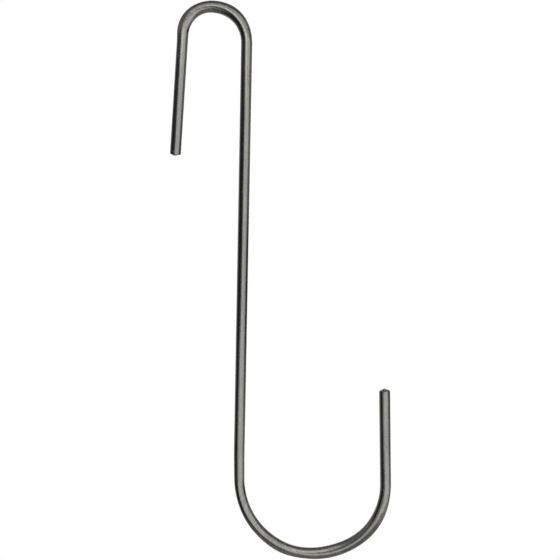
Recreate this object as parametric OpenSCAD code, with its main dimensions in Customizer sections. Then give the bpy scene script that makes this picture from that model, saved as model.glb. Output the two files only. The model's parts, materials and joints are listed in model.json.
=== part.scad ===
// S hook bent flat from one length of round wire.
// Origin at the upper seat, the inside top of the small bend, where the hook hangs.
// The hook lies in the XZ plane, +Z up along the shank, the wire's thickness along Y.

/* [Wire] */
// Wire diameter
wire_d = 5; // [3:0.5:8]

/* [Small bend] */
// Inside radius of the quarter from the shank up to the seat
crown_r = 13.5; // [8:0.25:25]
// Inside radius of the tighter turn from the seat down to the short leg
corner_r = 10.25; // [5:0.25:20]
// Turn from the seat down to the short leg; 90 would set it parallel to the shank
corner_turn = 87; // [60:1:90]
// Straight short leg, from the bend to the tip
short_leg = 53.75; // [30:0.25:80]

/* [Shank] */
// Straight shank between the two bends
shank = 197; // [120:1:300]

/* [Large bend] */
// Inside radius of the large bend
bowl_r = 31.25; // [20:0.25:50]
// Turn of the large bend; 180 would set the long leg parallel to the shank
bowl_turn = 182.5; // [160:0.5:190]
// Straight leg of the large bend, from the bend to the tip
long_leg = 43.5; // [25:0.25:80]

/* [Cut ends] */
// Slope of the long side of a leg's cut
cut_slope = 15; // [0:1:30]
// Slope of the short side of a leg's cut
nip_slope = 24; // [0:1:45]
// Distance from the wire's axis to the ridge between the two sides
ridge = 0.3; // [0:0.1:1.5]
// Rounding of the rim
rim_r = 0.9; // [0.2:0.1:1.2]

/* [Hidden] */
steel = [0.62, 0.62, 0.60];
wire_r = wire_d / 2;
crown_R = crown_r + wire_r;
corner_R = corner_r + wire_r;
bowl_R = bowl_r + wire_r;
// A leg starts just past its bend, and a bead a thousandth proud joins the two.
lap = 0.01;
proud = 0.001;
// Half-width of the block that a leg's cut end is shaped from.
reach = wire_d;
$fn = 96;

// A bend about the origin, starting on +X and turning towards +Y.
module bend(r, turn) {
  rotate_extrude(angle = turn) translate([r, 0]) circle(r = wire_r);
}

// Straight leg from the end of a bend along +Y, cut to a low ridge with a rounded rim.
// short is the side of the cut's short slope: 1 for +X, -1 for -X.
module leg(length, short) {
  sphere(r = wire_r + proud);
  intersection() {
    translate([0, lap, 0]) rotate([-90, 0, 0]) rotate_extrude() {
      square([wire_r, length - lap - rim_r]);
      square([wire_r - rim_r, length - lap]);
      translate([wire_r - rim_r, length - lap - rim_r]) circle(r = rim_r);
    }
    linear_extrude(height = 2 * reach, center = true) polygon([
      [short * ridge, length],
      [short * reach, length - (reach - ridge) * tan(nip_slope)],
      [short * reach, -reach],
      [-short * reach, -reach],
      [-short * reach, length - (reach + ridge) * tan(cut_slope)],
    ]);
  }
}

module small_end() {
  bend(crown_R, 90);
  rotate(90) translate([crown_R - corner_R, 0]) {
    bend(corner_R, corner_turn);
    rotate(corner_turn) translate([corner_R, 0]) leg(short_leg, 1);
  }
}

module large_end() rotate(180) {
  bend(bowl_R, bowl_turn);
  rotate(bowl_turn) translate([bowl_R, 0]) leg(long_leg, -1);
}

module hook() color(steel) rotate([90, 0, 0]) {
  translate([0, -crown_r]) small_end();
  translate([crown_R, -crown_r - shank]) rotate([-90, 0, 0]) cylinder(r = wire_r, h = shank);
  translate([crown_R + bowl_R, -crown_r - shank]) large_end();
}

hook();
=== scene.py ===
import json
import math

import bpy
from mathutils import Matrix, Vector


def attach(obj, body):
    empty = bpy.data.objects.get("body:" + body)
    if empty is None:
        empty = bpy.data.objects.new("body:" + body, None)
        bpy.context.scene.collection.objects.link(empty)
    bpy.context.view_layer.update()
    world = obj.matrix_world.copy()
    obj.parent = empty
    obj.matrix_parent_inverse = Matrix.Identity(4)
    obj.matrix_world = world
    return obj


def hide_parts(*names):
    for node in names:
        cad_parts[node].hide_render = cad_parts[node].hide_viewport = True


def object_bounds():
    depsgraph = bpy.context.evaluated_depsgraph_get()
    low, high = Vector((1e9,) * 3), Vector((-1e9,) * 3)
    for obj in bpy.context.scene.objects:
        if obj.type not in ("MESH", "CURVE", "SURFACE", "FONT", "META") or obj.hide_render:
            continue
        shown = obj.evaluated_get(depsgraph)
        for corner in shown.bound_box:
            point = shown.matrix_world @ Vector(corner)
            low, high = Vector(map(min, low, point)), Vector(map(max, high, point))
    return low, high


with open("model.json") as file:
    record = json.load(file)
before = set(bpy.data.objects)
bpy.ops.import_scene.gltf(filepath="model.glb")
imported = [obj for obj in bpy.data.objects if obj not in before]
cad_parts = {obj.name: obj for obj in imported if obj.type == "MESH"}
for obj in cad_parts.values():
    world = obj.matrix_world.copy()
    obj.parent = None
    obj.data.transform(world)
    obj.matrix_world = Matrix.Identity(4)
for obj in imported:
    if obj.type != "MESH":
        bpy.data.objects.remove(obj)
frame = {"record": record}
solid_low, solid_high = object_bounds()


# ---------------------------------------------------------------- the wire
# The whole hook is one length of 5 mm stainless wire, cropped at both ends and bent cold
# and flat round three pins. It is bare and satin: the drawing die left fine lines along it,
# and the belt and the bending pins left faint slanting scratches across it.

mounts = {mount["name"]: mount for mount in frame["record"]["mounts"]}
upper_seat = mounts["upper_seat"]
lower_seat = mounts["lower_seat"]
short_tip = mounts["short_tip"]
long_tip = mounts["long_tip"]

# Radii are to the wire's own axis, so each is an inside radius and half the wire.
wire_radius = short_tip["dims"]["r_mm"] / 1000
corner_radius = upper_seat["dims"]["r_mm"] / 1000 + wire_radius
bowl_radius = lower_seat["dims"]["r_mm"] / 1000 + wire_radius
crown_radius = lower_seat["pos_m"][0] - bowl_radius
inside_radii = crown_radius + bowl_radius - 2 * wire_radius
shank_length = -lower_seat["pos_m"][2] - inside_radii
corner_turn = math.pi / 2 - math.atan2(-short_tip["axis"][0], -short_tip["axis"][2])
bowl_turn = math.pi + math.atan2(-long_tip["axis"][0], long_tip["axis"][2])
short_leg = 0.05375
long_leg = 0.0435

# Where the short leg's axis meets the corner, which way it runs there, and where it starts.
leg_end = Vector((-math.sin(corner_turn), 0, math.cos(corner_turn))) * corner_radius
leg_end.z += upper_seat["pos_m"][2] + wire_radius - corner_radius
leg_heading = math.atan2(-short_tip["axis"][2], -short_tip["axis"][0])
wire_start = leg_end - short_leg * Vector((math.cos(leg_heading), 0, math.sin(leg_heading)))

# The cropping tool leaves two slopes that meet in a low ridge, and a rounded rim. The slopes
# blend softly into the rim, and nothing deeper than crop_reach radii of the rim is cropped.
rim_radius = 0.0009
ridge_offset = 0.0003
near_slope = math.radians(24)
far_slope = math.radians(15)
crop_softness = 0.00008
crop_reach = 1.2

# Cold bending in steps leaves the wire a little uneven: it swells on the inside or the outside
# of a bend. Each row gives the bend, the middle of the swelling and its reach as shares of
# that bend's turn, and how far the wire stands out on the inside and on the outside.
swellings = {
    "Corner Swelling": ("Corner", 0.34, 0.54, 0.00012, 0.00050),
    "Crown Swelling": ("Crown", 0.12, 0.60, 0.00033, 0.00000),
    "Crown Flank Swelling": ("Crown", 0.48, 0.46, 0.00000, 0.00037),
    "Bowl Entry Swelling": ("Bowl", 0.07, 0.20, 0.00022, -0.00048),
    "Bowl Side Swelling": ("Bowl", 0.370, 0.125, -0.00014, 0.00054),
    "Bowl Floor Swelling": ("Bowl", 0.60, 0.19, 0.00070, 0.00000),
    "Bowl Far Side Swelling": ("Bowl", 0.81, 0.17, 0.00002, 0.00044),
}

# The marks of the bending fade out over this length at either end of a bend.
bend_mark_fade = 0.008

# How finely the wire is meshed: along it, round it, and from the middle of a cut to its side.
# Points closer than weld_distance become one, which closes the middle of each cut.
ring_spacing = 0.0008
ring_sides = 48
rim_rings = 16
weld_distance = 0.000002


def metres(tree, name, value):
    socket = tree.interface.new_socket(name, in_out="INPUT", socket_type="NodeSocketFloat")
    socket.subtype = "DISTANCE"
    return socket.identifier, value


def radians(tree, name, value):
    socket = tree.interface.new_socket(name, in_out="INPUT", socket_type="NodeSocketFloat")
    socket.subtype = "ANGLE"
    return socket.identifier, value


def plug(tree, socket, value):
    """Joins another node's output to a socket, or writes a plain value on it."""
    if isinstance(value, bpy.types.NodeSocket):
        tree.links.new(value, socket)
    elif value is not None:
        socket.default_value = value


def maths(tree, operation, first, second=None, third=None):
    node = tree.nodes.new("ShaderNodeMath")
    node.operation = operation
    for socket, value in zip(node.inputs, (first, second, third)):
        plug(tree, socket, value)
    return node.outputs[0]


def vector_maths(tree, operation, first, second=None, scale=None):
    node = tree.nodes.new("ShaderNodeVectorMath")
    node.operation = operation
    plug(tree, node.inputs[0], first)
    plug(tree, node.inputs[1], second)
    plug(tree, node.inputs[3], scale)
    return node.outputs[0]


def smooth_step(tree, value, low, high):
    """Nothing at the low value and one at the high one, with a smooth slope between them."""
    node = tree.nodes.new("ShaderNodeMapRange")
    node.interpolation_type = "SMOOTHSTEP"
    plug(tree, node.inputs["Value"], value)
    node.inputs["From Min"].default_value = low
    node.inputs["From Max"].default_value = high
    return node.outputs["Result"]


def in_plane(tree, x, z):
    """A vector in the plane that the hook is bent in."""
    node = tree.nodes.new("ShaderNodeCombineXYZ")
    plug(tree, node.inputs["X"], x)
    plug(tree, node.inputs["Z"], z)
    return node.outputs[0]


def stored_on_points(tree, geometry, name, data_type, value):
    """Keeps a value on every point of the mesh, for the material to read."""
    node = tree.nodes.new("GeometryNodeStoreNamedAttribute")
    node.data_type = data_type
    node.domain = "POINT"
    node.inputs["Name"].default_value = name
    plug(tree, node.inputs["Geometry"], geometry)
    plug(tree, node.inputs["Value"], value)
    return node.outputs["Geometry"]


def bent_wire_tree():
    """Sweeps a round wire along straight stretches and bends, and crops its two ends."""
    tree = bpy.data.node_groups.new("Bent wire", "GeometryNodeTree")
    sizes = dict([
        metres(tree, "Wire Radius", wire_radius),
        metres(tree, "Short Leg", short_leg),
        metres(tree, "Corner Radius", corner_radius),
        radians(tree, "Corner Turn", corner_turn),
        metres(tree, "Crown Radius", crown_radius),
        radians(tree, "Crown Turn", math.pi / 2),
        metres(tree, "Shank", shank_length),
        metres(tree, "Bowl Radius", bowl_radius),
        radians(tree, "Bowl Turn", bowl_turn),
        metres(tree, "Long Leg", long_leg),
        metres(tree, "Start X", wire_start.x),
        metres(tree, "Start Z", wire_start.z),
        radians(tree, "Start Heading", leg_heading),
        metres(tree, "Rim Radius", rim_radius),
        metres(tree, "Ridge Offset", ridge_offset),
        radians(tree, "Near Slope", near_slope),
        radians(tree, "Far Slope", far_slope),
        metres(tree, "Ring Spacing", ring_spacing),
        metres(tree, "Bend Mark Fade", bend_mark_fade),
    ])
    for name, (_, _, _, inside, outside) in swellings.items():
        sizes.update([metres(tree, name + " Inside", inside),
                      metres(tree, name + " Outside", outside)])
    for name, value in (("Ring Sides", ring_sides), ("Rim Rings", rim_rings)):
        socket = tree.interface.new_socket(name, in_out="INPUT", socket_type="NodeSocketInt")
        sizes[socket.identifier] = value
    tree.interface.new_socket("Steel", in_out="INPUT", socket_type="NodeSocketMaterial")
    tree.interface.new_socket("Geometry", in_out="OUTPUT", socket_type="NodeSocketGeometry")
    size = tree.nodes.new("NodeGroupInput").outputs

    def m(operation, first, second=None, third=None):
        return maths(tree, operation, first, second, third)

    # Every stretch of the wire in order: its length and, in a bend, its turn and its radius.
    # Both are negative where the wire bends to the right as it runs, and positive to the left.
    stretches = []
    total = 0.0
    for name, way in (("Short Leg", None), ("Corner", -1), ("Crown", -1), ("Shank", None),
                      ("Bowl", 1), ("Long Leg", None)):
        if way is None:
            length, turn, radius = size[name], None, None
        else:
            length = m("MULTIPLY", size[name + " Turn"], size[name + " Radius"])
            turn = m("MULTIPLY", size[name + " Turn"], way)
            radius = m("MULTIPLY", size[name + " Radius"], way)
        stretches.append((name, length, turn, radius))
        total = m("ADD", total, length)

    # A line with a point for every ring, and a unit circle swept along it.
    body_rings = m("CEIL", m("DIVIDE", total, size["Ring Spacing"]))
    ring_count = m("ADD", body_rings, m("MULTIPLY", size["Rim Rings"], 2))
    line = tree.nodes.new("GeometryNodeMeshLine")
    line.mode = "OFFSET"
    plug(tree, line.inputs["Count"], ring_count)
    line.inputs["Offset"].default_value = (0, 0, 1)
    spine = tree.nodes.new("GeometryNodeMeshToCurve")
    plug(tree, spine.inputs["Mesh"], line.outputs["Mesh"])
    circle = tree.nodes.new("GeometryNodeCurvePrimitiveCircle")
    plug(tree, circle.inputs["Resolution"], size["Ring Sides"])
    circle.inputs["Radius"].default_value = 1
    tube = tree.nodes.new("GeometryNodeCurveToMesh")
    plug(tree, tube.inputs["Curve"], spine.outputs["Curve"])
    plug(tree, tube.inputs["Profile Curve"], circle.outputs["Curve"])

    # The tube's height gives a point's ring, and its outline the point's place on the ring.
    on_tube = tree.nodes.new("ShaderNodeSeparateXYZ")
    plug(tree, on_tube.inputs[0], tree.nodes.new("GeometryNodeInputPosition").outputs[0])
    ring = m("ROUND", on_tube.outputs["Z"])
    last = m("SUBTRACT", ring_count, 1)
    from_end = m("SUBTRACT", last, ring)
    nearer_last = m("LESS_THAN", from_end, ring)
    end_side = m("SUBTRACT", m("MULTIPLY", nearer_last, 2), 1)
    rim_step = m("DIVIDE", m("MINIMUM", m("MINIMUM", ring, from_end), size["Rim Rings"]),
                 size["Rim Rings"])

    # From the middle of the cut outwards: half of the rings are a flat, and the other half a
    # quarter round down to the wire's side.
    flat_radius = m("SUBTRACT", size["Wire Radius"], size["Rim Radius"])
    flat_share = m("MINIMUM", m("MULTIPLY", rim_step, 2), 1)
    round_share = m("MAXIMUM", m("SUBTRACT", m("MULTIPLY", rim_step, 2), 1), 0)
    round_angle = m("MULTIPLY", round_share, math.pi / 2)
    ring_radius = m("MULTIPLY_ADD", flat_radius, flat_share,
                    m("MULTIPLY", size["Rim Radius"], m("SINE", round_angle)))
    drop = m("MULTIPLY", size["Rim Radius"], m("SUBTRACT", 1, m("COSINE", round_angle)))
    across = m("MULTIPLY", ring_radius, on_tube.outputs["X"])
    through = m("MULTIPLY", ring_radius, on_tube.outputs["Y"])

    # How far along the wire a point lies, measured from the first cut.
    body_share = m("DIVIDE", m("SUBTRACT", ring, size["Rim Rings"]),
                   m("SUBTRACT", last, m("MULTIPLY", size["Rim Rings"], 2)))
    body_share = m("MINIMUM", m("MAXIMUM", body_share, 0), 1)
    body_length = m("SUBTRACT", total, m("MULTIPLY", size["Rim Radius"], 2))
    along = m("MULTIPLY_ADD", body_share, body_length, size["Rim Radius"])
    along = m("MULTIPLY_ADD", end_side, m("SUBTRACT", size["Rim Radius"], drop), along)

    # Both cuts slope away from the ridge, and what stands above a slope is cropped.
    past_ridge = m("SUBTRACT", across, size["Ridge Offset"])
    crop = m("MAXIMUM", m("MULTIPLY", past_ridge, m("TANGENT", size["Near Slope"])),
             m("MULTIPLY", past_ridge, m("MULTIPLY", m("TANGENT", size["Far Slope"]), -1)))
    depth = m("MINIMUM", along, m("SUBTRACT", total, along))
    cropped = m("SUBTRACT", m("SMOOTH_MAX", depth, crop, crop_softness), depth)
    at_cut = m("LESS_THAN", depth, m("MULTIPLY", size["Rim Radius"], crop_reach))
    cropped = m("MULTIPLY", cropped, at_cut)
    along = m("SUBTRACT", along, m("MULTIPLY", end_side, cropped))

    # The axis at that place: the sum of what each stretch has run so far.
    centre = in_plane(tree, size["Start X"], size["Start Z"])
    heading = size["Start Heading"]
    turned = heading
    begins = 0.0
    bends = {}
    for name, length, turn, radius in stretches:
        run = m("MINIMUM", m("MAXIMUM", m("SUBTRACT", along, begins), 0), length)
        if turn is None:
            step = in_plane(tree, m("MULTIPLY", run, m("COSINE", heading)),
                            m("MULTIPLY", run, m("SINE", heading)))
        else:
            bends[name] = begins, length
            swung = m("DIVIDE", run, radius)
            reached = m("ADD", heading, swung)
            step = in_plane(
                tree,
                m("MULTIPLY", radius, m("SUBTRACT", m("SINE", reached), m("SINE", heading))),
                m("MULTIPLY", radius, m("SUBTRACT", m("COSINE", heading), m("COSINE", reached))),
            )
            turned = m("ADD", turned, swung)
            heading = m("ADD", heading, turn)
        centre = vector_maths(tree, "ADD", centre, step)
        begins = m("ADD", begins, length)

    # The swellings, each a smooth hill along the wire that fades round to its flanks.
    swollen = across
    for name, (bend, middle_share, reach, _, _) in swellings.items():
        bend_start, bend_length = bends[bend]
        hill_middle = m("MULTIPLY_ADD", bend_length, middle_share, bend_start)
        away = m("ABSOLUTE", m("SUBTRACT", along, hill_middle))
        hill = smooth_step(tree, m("DIVIDE", away, m("MULTIPLY", bend_length, reach)), 1, 0)
        pin_side = 1 if bend == "Bowl" else -1
        for side_name, side in ((" Inside", pin_side), (" Outside", -pin_side)):
            facing_share = m("DIVIDE", m("MAXIMUM", m("MULTIPLY", across, side), 0),
                             size["Wire Radius"])
            grown = m("MULTIPLY", m("MULTIPLY", hill, size[name + side_name]),
                      m("MULTIPLY", facing_share, facing_share))
            swollen = m("MULTIPLY_ADD", grown, side, swollen)

    # Where the wire was bent, for the marks of the bending: one in a bend, nothing outside it.
    in_bend = 0.0
    for bend_start, bend_length in bends.values():
        half = m("MULTIPLY", bend_length, 0.5)
        past_middle = m("ABSOLUTE", m("SUBTRACT", along, m("ADD", bend_start, half)))
        inside = m("DIVIDE", m("SUBTRACT", half, past_middle), size["Bend Mark Fade"])
        inside = m("MINIMUM", m("MAXIMUM", m("ADD", inside, 0.5), 0), 1)
        in_bend = m("MAXIMUM", in_bend, inside)

    # Every point stands off the axis: in the plane of the hook, and through it.
    outward = in_plane(tree, m("MULTIPLY", m("SINE", turned), -1), m("COSINE", turned))
    surface = vector_maths(tree, "ADD", centre, vector_maths(tree, "SCALE", outward, scale=swollen))
    sideways = tree.nodes.new("ShaderNodeCombineXYZ")
    plug(tree, sideways.inputs["Y"], through)
    surface = vector_maths(tree, "ADD", surface, sideways.outputs[0])

    # The wire as it was before it was bent, for the marks that run along and across it.
    unbent = tree.nodes.new("ShaderNodeCombineXYZ")
    plug(tree, unbent.inputs["X"], across)
    plug(tree, unbent.inputs["Y"], through)
    plug(tree, unbent.inputs["Z"], along)
    marked = stored_on_points(tree, tube.outputs["Mesh"], "straight_wire", "FLOAT_VECTOR",
                              unbent.outputs[0])
    marked = stored_on_points(tree, marked, "in_bend", "FLOAT", in_bend)
    marked = stored_on_points(tree, marked, "cropped_face", "FLOAT",
                              m("SUBTRACT", 1, round_share))

    bent = tree.nodes.new("GeometryNodeSetPosition")
    plug(tree, bent.inputs["Geometry"], marked)
    plug(tree, bent.inputs["Position"], surface)
    closed = tree.nodes.new("GeometryNodeMergeByDistance")
    plug(tree, closed.inputs["Geometry"], bent.outputs["Geometry"])
    closed.inputs["Distance"].default_value = weld_distance

    # Laid out this way round the tube comes out inside out, so its faces are turned outwards.
    outwards = tree.nodes.new("GeometryNodeFlipFaces")
    plug(tree, outwards.inputs["Mesh"], closed.outputs["Geometry"])
    smooth = tree.nodes.new("GeometryNodeSetShadeSmooth")
    plug(tree, smooth.inputs["Geometry"], outwards.outputs["Mesh"])
    real = tree.nodes.new("GeometryNodeRealizeInstances")
    plug(tree, real.inputs["Geometry"], smooth.outputs["Geometry"])
    finish = tree.nodes.new("GeometryNodeSetMaterial")
    plug(tree, finish.inputs["Geometry"], real.outputs["Geometry"])
    plug(tree, finish.inputs["Material"], size["Steel"])
    result = tree.nodes.new("NodeGroupOutput")
    plug(tree, result.inputs["Geometry"], finish.outputs["Geometry"])
    return tree, sizes


def drawn_steel():
    """Bare drawn stainless: fine lines along the wire, slanting scratches, dull cropped ends
    darkened with painted shade.
    """
    steel = bpy.data.materials.new("drawn_steel")
    steel.use_nodes = True
    tree = steel.node_tree
    shader = tree.nodes["Principled BSDF"]
    shader.inputs["Metallic"].default_value = 1.0

    def m(operation, first, second=None, third=None):
        return maths(tree, operation, first, second, third)

    def named(name):
        attribute = tree.nodes.new("ShaderNodeAttribute")
        attribute.attribute_name = name
        return attribute

    straight = named("straight_wire").outputs["Vector"]
    parts = tree.nodes.new("ShaderNodeSeparateXYZ")
    plug(tree, parts.inputs[0], straight)
    across, through, along = parts.outputs

    def lengthwise(per_metre_across, per_metre_along):
        """Places on the wire, drawn out along it."""
        return vector_maths(tree, "MULTIPLY", straight,
                            (per_metre_across, per_metre_across, per_metre_along))

    def slanting(degrees, per_metre_fine, per_metre_long):
        """Places on the wire, drawn out along a line that crosses it at a slant."""
        lean = math.radians(degrees)
        fine = m("ADD", m("MULTIPLY", along, math.cos(lean) * per_metre_fine),
                 m("MULTIPLY", across, math.sin(lean) * per_metre_fine))
        drawn_out = m("SUBTRACT", m("MULTIPLY", across, math.cos(lean) * per_metre_long),
                      m("MULTIPLY", along, math.sin(lean) * per_metre_long))
        node = tree.nodes.new("ShaderNodeCombineXYZ")
        plug(tree, node.inputs["X"], fine)
        plug(tree, node.inputs["Y"], drawn_out)
        plug(tree, node.inputs["Z"], m("MULTIPLY", through, per_metre_long))
        return node.outputs[0]

    def grain(place, detail, low, high):
        """Noise over a place: 0 below the low level, 1 above the high one."""
        noise = tree.nodes.new("ShaderNodeTexNoise")
        plug(tree, noise.inputs["Vector"], place)
        noise.inputs["Scale"].default_value = 1
        noise.inputs["Detail"].default_value = detail
        return smooth_step(tree, noise.outputs["Fac"], low, high)

    def blended(share, first, second):
        """The first colour at 0 and the second at 1. Sockets 6, 7 and 2 are those of colours."""
        mix = tree.nodes.new("ShaderNodeMix")
        mix.data_type = "RGBA"
        plug(tree, mix.inputs["Factor"], share)
        for socket, colour in ((mix.inputs[6], first), (mix.inputs[7], second)):
            is_socket = isinstance(colour, bpy.types.NodeSocket)
            plug(tree, socket, colour if is_socket else (*colour, 1))
        return mix.outputs[2]

    def summed(start, *layers):
        """A plain start and several layers, each times its own weight."""
        result = start
        for layer, weight in layers:
            result = m("MULTIPLY_ADD", layer, weight, result)
        return result

    # The die: broad and hair-fine lines, and slow changes of tone where it ran drier.
    die_lines = grain(lengthwise(4200, 22), 2, 0.36, 0.64)
    hair_lines = grain(lengthwise(13000, 60), 1, 0.30, 0.70)
    dry_runs = grain(lengthwise(420, 40), 2, 0.34, 0.66)
    mottling = grain(lengthwise(950, 380), 2, 0.36, 0.64)

    # Handling, the belt and the pins: slanting scratches and cross scuffs, in patches.
    worn_patches = grain(lengthwise(90, 110), 1, 0.46, 0.62)
    rising_scratches = grain(slanting(38, 5200, 300), 1, 0.60, 0.72)
    falling_scratches = grain(slanting(-27, 4300, 240), 1, 0.62, 0.72)
    fine_scratches = m("MULTIPLY", worn_patches, m("MAXIMUM", rising_scratches, falling_scratches))
    scuffed_patches = grain(lengthwise(140, 75), 1, 0.52, 0.64)
    pin_scuffs = m("MULTIPLY", scuffed_patches, grain(slanting(12, 2600, 420), 2, 0.48, 0.62))

    # Where the wire was drawn round the pins: coarser slanting rubs, in the bends alone.
    in_bend = named("in_bend").outputs["Fac"]
    dull_rubs = m("MULTIPLY", in_bend, grain(slanting(52, 1500, 260), 2, 0.46, 0.64))
    bright_rubs = m("MULTIPLY", in_bend, grain(slanting(40, 1700, 240), 2, 0.50, 0.66))

    # The cropped ends: torn metal, duller, with shear marks across the face, and darkened with
    # painted shade.
    cut = smooth_step(tree, named("cropped_face").outputs["Fac"], 0.05, 0.45)
    torn_lines = grain(vector_maths(tree, "MULTIPLY", straight, (7000, 900, 900)), 2, 0.35, 0.65)
    shear_marks = m("MULTIPLY", torn_lines, cut)

    # The colour, from dull grey to bright, a little warm. Each kind of mark shows by its share.
    dull_steel, bright_steel = (0.192, 0.189, 0.174), (0.278, 0.275, 0.257)
    # The cropped ends' colours are partly torn metal and partly painted shade: far darker than the
    # steel, standing for the dark room the ends reflect.
    torn_dark_painted_shade, torn_light_painted_shade = (0.045, 0.044, 0.042), (0.115, 0.113, 0.108)
    tone = summed(0, (die_lines, 0.34), (hair_lines, 0.12), (dry_runs, 0.30), (mottling, 0.24))
    colour = blended(tone, dull_steel, bright_steel)
    for marks, share, mark_colour in (
        (dull_rubs, 0.36, (0.125, 0.123, 0.118)),
        (bright_rubs, 0.38, (0.345, 0.341, 0.330)),
        (pin_scuffs, 0.35, (0.167, 0.164, 0.157)),
        (fine_scratches, 0.45, (0.322, 0.319, 0.308)),
    ):
        colour = blended(m("MULTIPLY", marks, share), colour, mark_colour)
    # Painted shade: the cropped ends take the dark torn colours, with the shear marks over them.
    colour = blended(cut, colour, blended(torn_lines, torn_dark_painted_shade, torn_light_painted_shade))
    plug(tree, shader.inputs["Base Color"], colour)

    # The roughness: satin, duller where the wire is marked, and dull where it was torn.
    satin = 0.135
    plug(tree, shader.inputs["Roughness"], summed(
        satin, (die_lines, 0.045), (dry_runs, 0.035), (fine_scratches, 0.10), (pin_scuffs, 0.08),
        (cut, 0.40)))

    # The relief, only microns deep. A mark with a weight below nought is sunk into the wire.
    relief_depth = 0.0000025
    relief = tree.nodes.new("ShaderNodeBump")
    relief.inputs["Strength"].default_value = 1
    relief.inputs["Distance"].default_value = relief_depth
    plug(tree, relief.inputs["Height"], summed(
        0, (die_lines, 1.0), (hair_lines, 0.4), (fine_scratches, -1.2), (pin_scuffs, -1.4),
        (dull_rubs, -2.4), (mottling, 1.6), (shear_marks, 14)))
    plug(tree, shader.inputs["Normal"], relief.outputs["Normal"])
    return steel


wire_tree, wire_sizes = bent_wire_tree()
steel = drawn_steel()
blank = bpy.data.objects.new("wire_blank", bpy.data.meshes.new("wire_blank"))
bpy.context.scene.collection.objects.link(blank)
bender = blank.modifiers.new("Bent wire", "NODES")
bender.node_group = wire_tree
for identifier, value in wire_sizes.items():
    bender[identifier] = value
steel_socket = next(s for s in wire_tree.interface.items_tree if s.name == "Steel")
bender[steel_socket.identifier] = steel
seen = bpy.context.evaluated_depsgraph_get()
wire_mesh = bpy.data.meshes.new_from_object(
    blank.evaluated_get(seen), preserve_all_data_layers=True, depsgraph=seen
)
wire_mesh.name = "wire"
bpy.data.objects.remove(blank)
wire = bpy.data.objects.new("wire", wire_mesh)
bpy.context.scene.collection.objects.link(wire)
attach(wire, "root")
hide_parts("hook")


# ---------------------------------------------------------------- the studio
# The hook hangs free above a plain pale floor, with plain white behind it. Soft lamps stand
# in front of it, mostly to the right, and the room's left side is dark: that dark side is
# the black line down the left of the wire.

middle = (solid_low + solid_high) / 2
lamp_distance = 0.5


def facing(azimuth, elevation):
    """A direction from the hook: azimuth 0 is towards the camera, 90 to the right."""
    azimuth, elevation = math.radians(azimuth), math.radians(elevation)
    return Vector((math.sin(azimuth) * math.cos(elevation),
                   -math.cos(azimuth) * math.cos(elevation), math.sin(elevation)))


def softbox(name, left, right, bottom, top, radiance):
    """A soft lamp that fills these angles as seen from the hook, in degrees."""
    azimuth, elevation = (left + right) / 2, (bottom + top) / 2
    towards = facing(azimuth, elevation)
    half_width = math.tan(math.radians(right - left) / 2) * math.cos(math.radians(elevation))
    half_height = math.tan(math.radians(top - bottom) / 2)
    lamp = bpy.data.lights.new(name, "AREA")
    lamp.shape = "RECTANGLE"
    lamp.size = 2 * half_width * lamp_distance
    lamp.size_y = 2 * half_height * lamp_distance
    lamp.energy = radiance * math.pi * lamp.size * lamp.size_y
    box = bpy.data.objects.new(name, lamp)
    turned = towards.to_track_quat("Z", "Y").to_matrix().to_4x4()
    box.matrix_world = Matrix.Translation(middle + towards * lamp_distance) @ turned
    box.visible_camera = False
    bpy.context.scene.collection.objects.link(box)


softbox("front_right_lamp", -5, 79, -38, 23, 0.97)
softbox("front_lamp", -21, 16, 15, 34, 1.12)
softbox("low_left_lamp", -37, -3, -26, -12, 0.67)
softbox("overhead_lamp", -39, 65, 22, 67, 0.75)
softbox("back_lamp", 158, 202, -28, 36, 0.99)

# The room round the lamps is dim, a little dimmer above than below, and has two dark sides.
world = bpy.data.worlds.new("studio")
world.use_nodes = True
bpy.context.scene.world = world
air = world.node_tree
path = air.nodes.new("ShaderNodeLightPath")
direction = air.nodes.new("ShaderNodeTexCoord")
split = air.nodes.new("ShaderNodeSeparateXYZ")
plug(air, split.inputs[0], direction.outputs["Generated"])
towards_camera = maths(air, "MULTIPLY", split.outputs["Y"], -1)
azimuth = maths(air, "ARCTAN2", split.outputs["X"], towards_camera)
elevation = maths(air, "ARCSINE", split.outputs["Z"])
edge_softness = 3


def between(value, low, high):
    """One between two angles and nothing outside them, with soft edges, in degrees."""
    rising, falling = (
        smooth_step(air, value, math.radians(edge - edge_softness * way),
                    math.radians(edge + edge_softness * way))
        for edge, way in ((low, 1), (high, -1))
    )
    return maths(air, "MULTIPLY", rising, falling)


level_brightness = 0.417
change_upwards = -0.190
room = maths(air, "MULTIPLY_ADD", split.outputs["Z"], change_upwards, level_brightness)
for left, right, bottom, top, depth in ((-98, -15, -61, 10, 0.90), (47, 143, -12, -3, 0.95)):
    shade = maths(air, "MULTIPLY", between(azimuth, left, right), between(elevation, bottom, top))
    room = maths(air, "MULTIPLY", room, maths(air, "MULTIPLY_ADD", shade, -depth, 1))

# The white behind the hook, seen straight on and in the wire's reflections of what is behind it.
# In reflections it fades out between these two cosines of the angle off straight behind.
backdrop = maths(air, "MULTIPLY", smooth_step(air, split.outputs["Y"], 0.90, 0.96),
                 path.outputs["Is Glossy Ray"])
backdrop = maths(air, "MAXIMUM", backdrop, path.outputs["Is Camera Ray"])
backdrop = maths(air, "MAXIMUM", backdrop, path.outputs["Is Transmission Ray"])
air.nodes["Background"].inputs["Color"].default_value = (1, 1, 1, 1)
plug(air, air.nodes["Background"].inputs["Strength"], maths(air, "MAXIMUM", backdrop, room))

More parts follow.
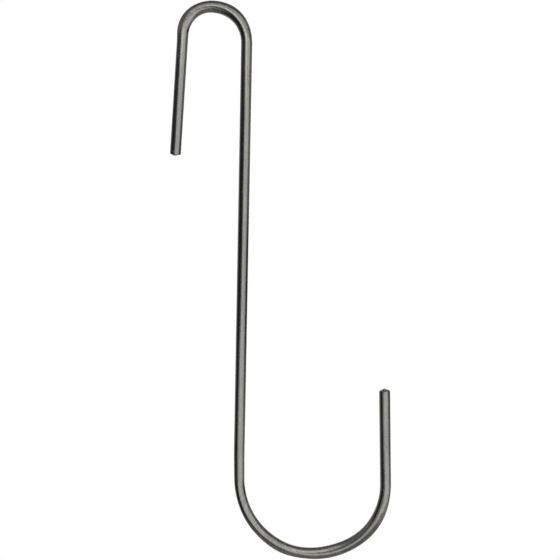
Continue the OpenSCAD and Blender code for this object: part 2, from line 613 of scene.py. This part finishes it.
# The floor is matt white paper. Seen directly it is partly plain white, from least_fade in the
# middle to all of it at the edge, so it fades into the white around it and keeps a faint shadow.
floor_drop = 0.55
floor_half_width = 0.55
fade_begins = 0.15
least_fade = 0.7
floor_mesh = bpy.data.meshes.new("floor")
floor_z = solid_low.z - floor_drop
floor_mesh.from_pydata(
    [(middle.x + x * floor_half_width, y * floor_half_width, floor_z)
     for x, y in ((-1, -1), (1, -1), (1, 1), (-1, 1))], [], [(0, 1, 2, 3)])
floor = bpy.data.objects.new("floor", floor_mesh)
bpy.context.scene.collection.objects.link(floor)
paper = bpy.data.materials.new("white_paper")
paper.use_nodes = True
sheet = paper.node_tree
paper_shader = sheet.nodes["Principled BSDF"]
paper_shader.inputs["Base Color"].default_value = (0.80, 0.80, 0.79, 1)
paper_shader.inputs["Roughness"].default_value = 0.95
white = sheet.nodes.new("ShaderNodeEmission")
place = sheet.nodes.new("ShaderNodeTexCoord")
from_middle = sheet.nodes.new("ShaderNodeVectorMath")
from_middle.operation = "DISTANCE"
plug(sheet, from_middle.inputs[0], place.outputs["Object"])
from_middle.inputs[1].default_value = (middle.x, 0, floor_z)
outwards_share = smooth_step(sheet, from_middle.outputs["Value"], fade_begins, floor_half_width)
fading = maths(sheet, "MULTIPLY_ADD", outwards_share, 1 - least_fade, least_fade)
seen_directly = sheet.nodes.new("ShaderNodeLightPath")
whitened = sheet.nodes.new("ShaderNodeMixShader")
plug(sheet, whitened.inputs[0],
     maths(sheet, "MULTIPLY", seen_directly.outputs["Is Camera Ray"], fading))
plug(sheet, whitened.inputs[1], paper_shader.outputs[0])
plug(sheet, whitened.inputs[2], white.outputs[0])
plug(sheet, sheet.nodes["Material Output"].inputs["Surface"], whitened.outputs[0])
floor_mesh.materials.append(paper)


# ---------------------------------------------------------------- the camera
# It stands half a metre in front of the hook, a little to its right and a little above its
# middle, looks back at it with a portrait lens, and is rolled by a degree.

camera_data = bpy.data.cameras.new("camera")
camera_data.sensor_width = 36
camera_data.lens = 66.857143
camera_data.clip_start = 0.01
camera = bpy.data.objects.new("camera", camera_data)
aim = Vector((0.0331, 0, -0.11779))
distance = 0.46813
yaw, pitch, roll = (math.radians(angle) for angle in (-6.923, -6.442, 1.285))
ahead = Vector((math.sin(yaw) * math.cos(pitch), math.cos(yaw) * math.cos(pitch), math.sin(pitch)))
level = Vector((math.cos(yaw), -math.sin(yaw), 0))
upright = level.cross(ahead)
rightwards = math.cos(roll) * level + math.sin(roll) * upright
upwards = math.cos(roll) * upright - math.sin(roll) * level
turned = Matrix((rightwards, upwards, -ahead)).transposed().to_4x4()
camera.matrix_world = Matrix.Translation(aim - ahead * distance) @ turned
bpy.context.scene.collection.objects.link(camera)
bpy.context.scene.camera = camera

bpy.context.scene.view_settings.view_transform = "Standard"
